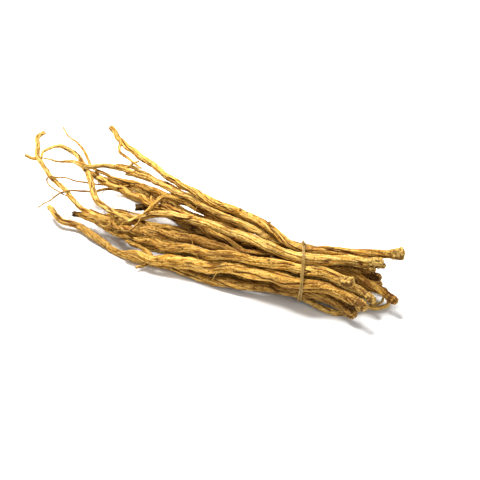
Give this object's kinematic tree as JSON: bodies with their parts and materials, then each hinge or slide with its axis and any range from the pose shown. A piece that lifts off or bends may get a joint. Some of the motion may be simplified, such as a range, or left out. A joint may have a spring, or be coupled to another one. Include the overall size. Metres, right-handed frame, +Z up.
{
  "type": "bundle of dried codonopsis roots",
  "caption": "Dried codonopsis roots with warty crowns, furrowed trunks and thin forked tails, tied into a bundle by a rubber band.",
  "frame": {"origin": "on the surface that the bundle lies on, under the middle of its bounding box", "axes": "+X along the bundle towards the crowns, -X towards the forked tails, +Z up"},
  "size_m": [0.3508, 0.1178, 0.0476],
  "materials": {
    "golden_root": "dry, matt, furrowed",
    "straw_root": "dry, matt, furrowed",
    "brown_root": "dry, matt, furrowed",
    "grey_root": "dry, matt, furrowed",
    "tan_rubber": "smooth, slightly see-through"
  },
  "bodies": {
    "root": {"root_01": "golden_root", "root_02": "straw_root", "root_03": "golden_root", "root_04": "golden_root", "root_05": "grey_root", "root_06": "straw_root", "root_07": "brown_root", "root_08": "brown_root", "root_09": "straw_root", "root_10": "golden_root", "root_11": "straw_root", "root_12": "golden_root", "root_13": "straw_root", "root_14": "grey_root", "root_15": "golden_root", "root_16": "straw_root", "root_17": "brown_root", "root_18": "grey_root", "rubber_band": "tan_rubber"}
  },
  "joints": []
}
